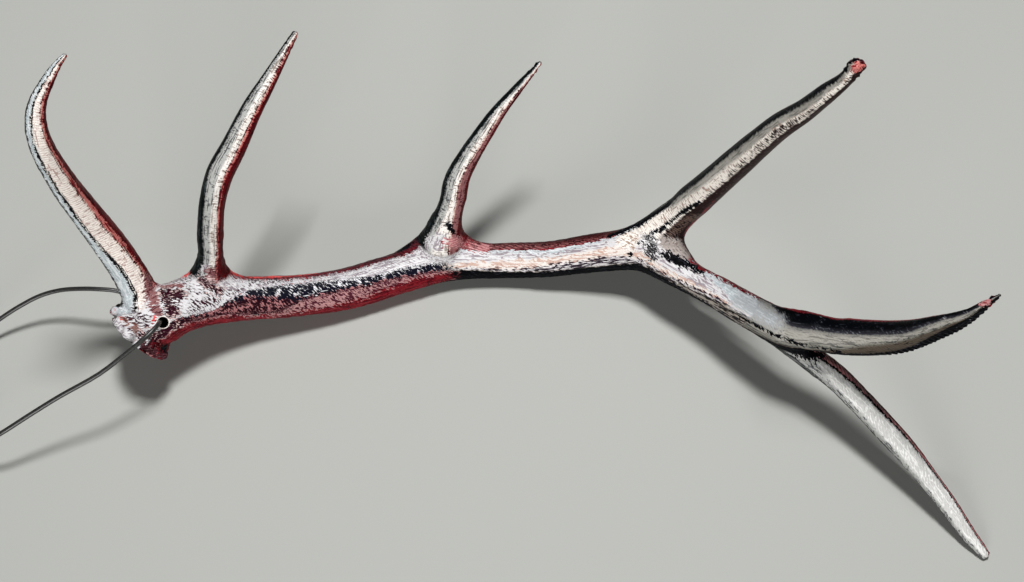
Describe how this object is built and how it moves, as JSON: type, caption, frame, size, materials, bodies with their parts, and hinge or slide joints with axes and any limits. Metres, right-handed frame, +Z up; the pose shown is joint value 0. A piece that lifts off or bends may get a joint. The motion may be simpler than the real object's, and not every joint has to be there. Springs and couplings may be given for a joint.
{
  "type": "elk antler ornament",
  "caption": "Small printed elk antler with a knobbly burr, a curved beam and pointed tines, lying on its beam, with a thin cord loop through its base.",
  "frame": {"origin": "under the middle of the antler, on the surface that it lies on", "axes": "+X from the burr towards the crown, +Y towards the side that the bez and trez tines lean to, +Z up"},
  "size_m": [0.2351, 0.0982, 0.091],
  "materials": {
    "antler": "silk tri-colour plastic, silver white with black and dark red",
    "cord": "waxed black cord"
  },
  "bodies": {
    "root": {"burr_base": "antler", "brow_tine": "antler", "bez_tine": "antler", "main_beam": "antler", "trez_tine": "antler", "royal_tine": "antler", "crown_beam": "antler", "fifth_tine": "antler", "beam_tip": "antler", "cord": "cord", "cord_coil": "cord", "cord_tie": "cord"}
  },
  "joints": []
}
